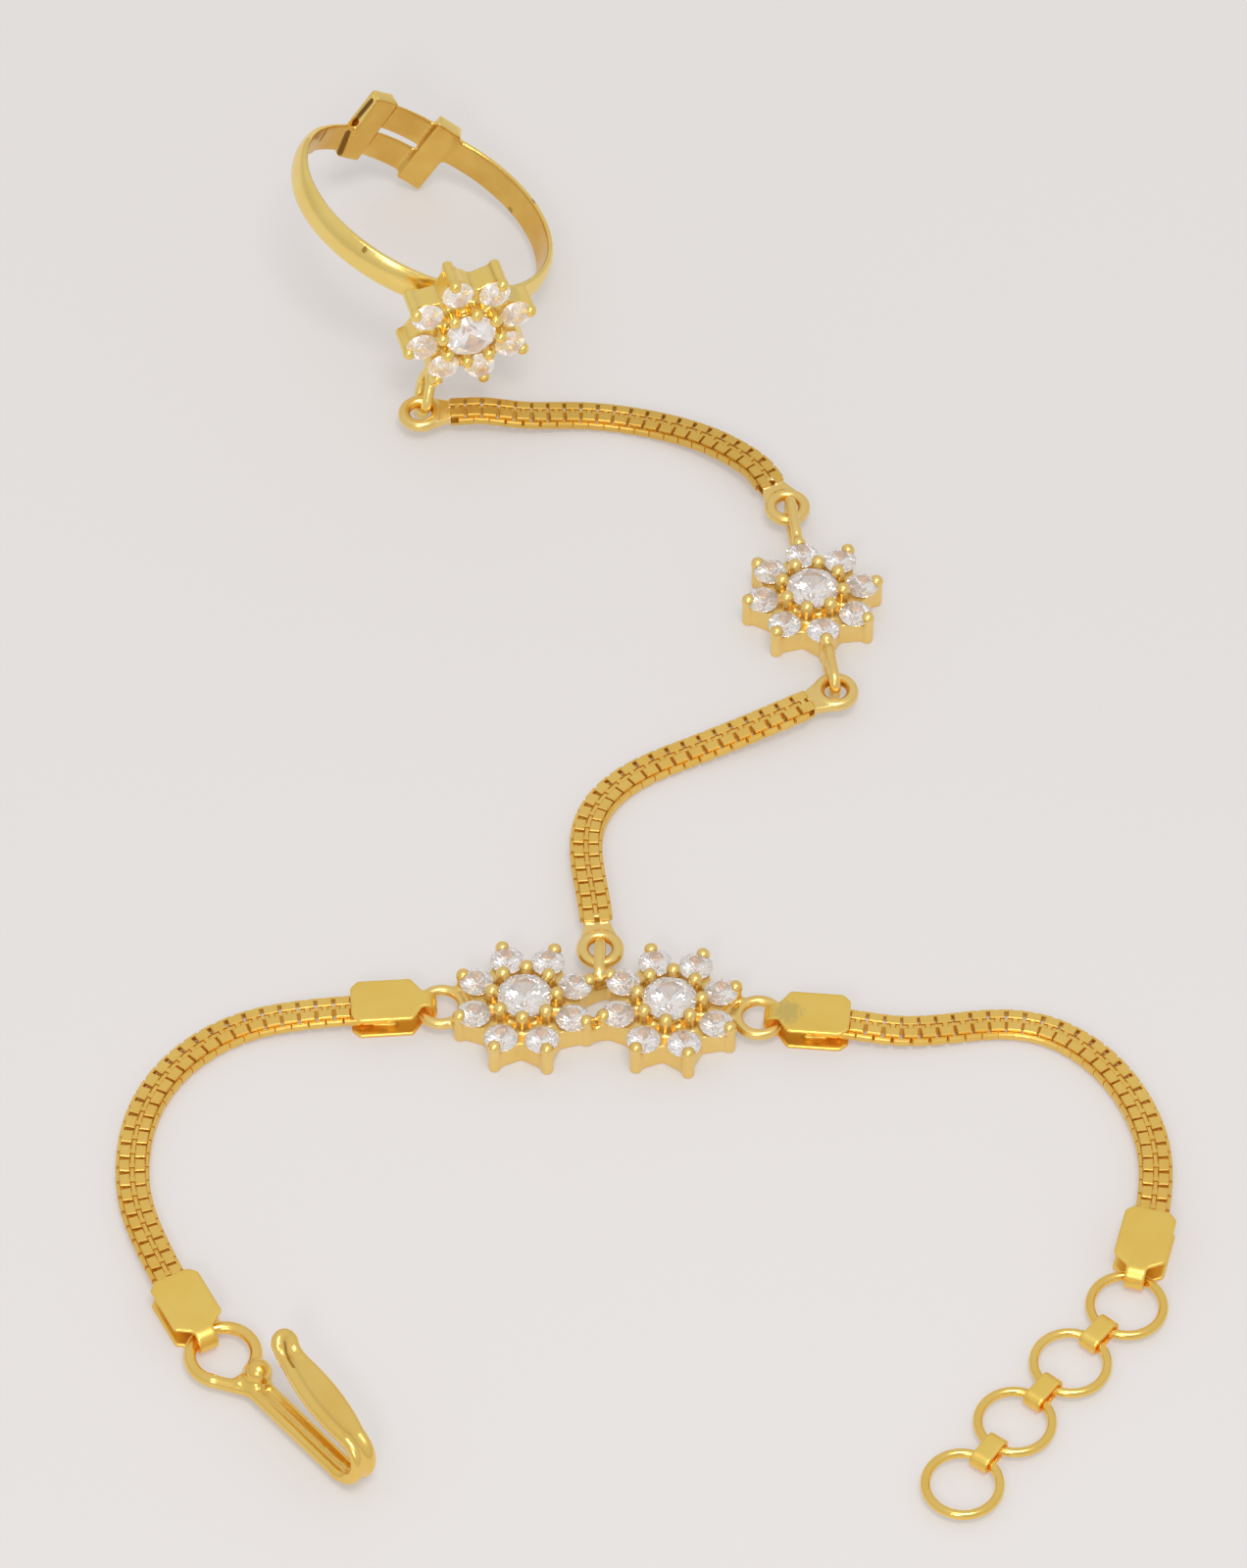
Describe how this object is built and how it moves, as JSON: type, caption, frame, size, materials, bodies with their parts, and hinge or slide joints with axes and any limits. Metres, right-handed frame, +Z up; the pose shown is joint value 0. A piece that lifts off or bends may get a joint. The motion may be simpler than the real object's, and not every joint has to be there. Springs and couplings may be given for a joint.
{
  "type": "hand chain bracelet",
  "caption": "Hand chain with an adjustable finger ring, stone flowers, link chains to a wrist chain, a springy hook and extension rings, laid open.",
  "frame": {"origin": "middle of the laid-out piece in plan, on the surface it lies on", "axes": "+Y runs from the extension rings towards the finger ring, +X from the hook's side towards the extension rings' side, +Z up from the surface"},
  "size_m": [0.076, 0.1322, 0.0135],
  "materials": {
    "gold": "yellow gold, satin plates and polished wire",
    "stone": "clear faceted stone"
  },
  "bodies": {
    "root": {"finger_ring": "gold", "middle_setting": "gold", "wrist_setting": "gold", "hook": "gold", "ring_centre_stone": "stone", "ring_petal_stone_1": "stone", "ring_petal_stone_2": "stone", "ring_petal_stone_3": "stone", "ring_petal_stone_4": "stone", "ring_petal_stone_5": "stone", "ring_petal_stone_6": "stone", "ring_petal_stone_7": "stone", "ring_petal_stone_8": "stone", "middle_centre_stone": "stone", "middle_petal_stone_1": "stone", "middle_petal_stone_2": "stone", "middle_petal_stone_3": "stone", "middle_petal_stone_4": "stone", "middle_petal_stone_5": "stone", "middle_petal_stone_6": "stone", "middle_petal_stone_7": "stone", "middle_petal_stone_8": "stone", "left_centre_stone": "stone", "left_petal_stone_1": "stone", "left_petal_stone_2": "stone", "left_petal_stone_3": "stone", "left_petal_stone_4": "stone", "left_petal_stone_5": "stone", "left_petal_stone_6": "stone", "left_petal_stone_7": "stone", "left_petal_stone_8": "stone", "right_centre_stone": "stone", "right_petal_stone_1": "stone", "right_petal_stone_2": "stone", "right_petal_stone_3": "stone", "right_petal_stone_4": "stone", "right_petal_stone_5": "stone", "right_petal_stone_6": "stone", "right_petal_stone_7": "stone", "right_petal_stone_8": "stone", "finger_chain": "gold", "hand_chain": "gold", "left_wrist_chain": "gold", "right_wrist_chain": "gold", "finger_chain_ring": "gold", "finger_chain_end": "gold", "hand_chain_end": "gold", "hand_chain_ring": "gold", "left_upper_cap": "gold", "right_upper_cap": "gold", "left_lower_cap": "gold", "right_lower_cap": "gold", "extension_ring_1": "gold", "extension_ring_2": "gold", "extension_ring_3": "gold", "extension_ring_4": "gold", "strap_1": "gold", "strap_2": "gold", "strap_3": "gold"}
  },
  "joints": []
}
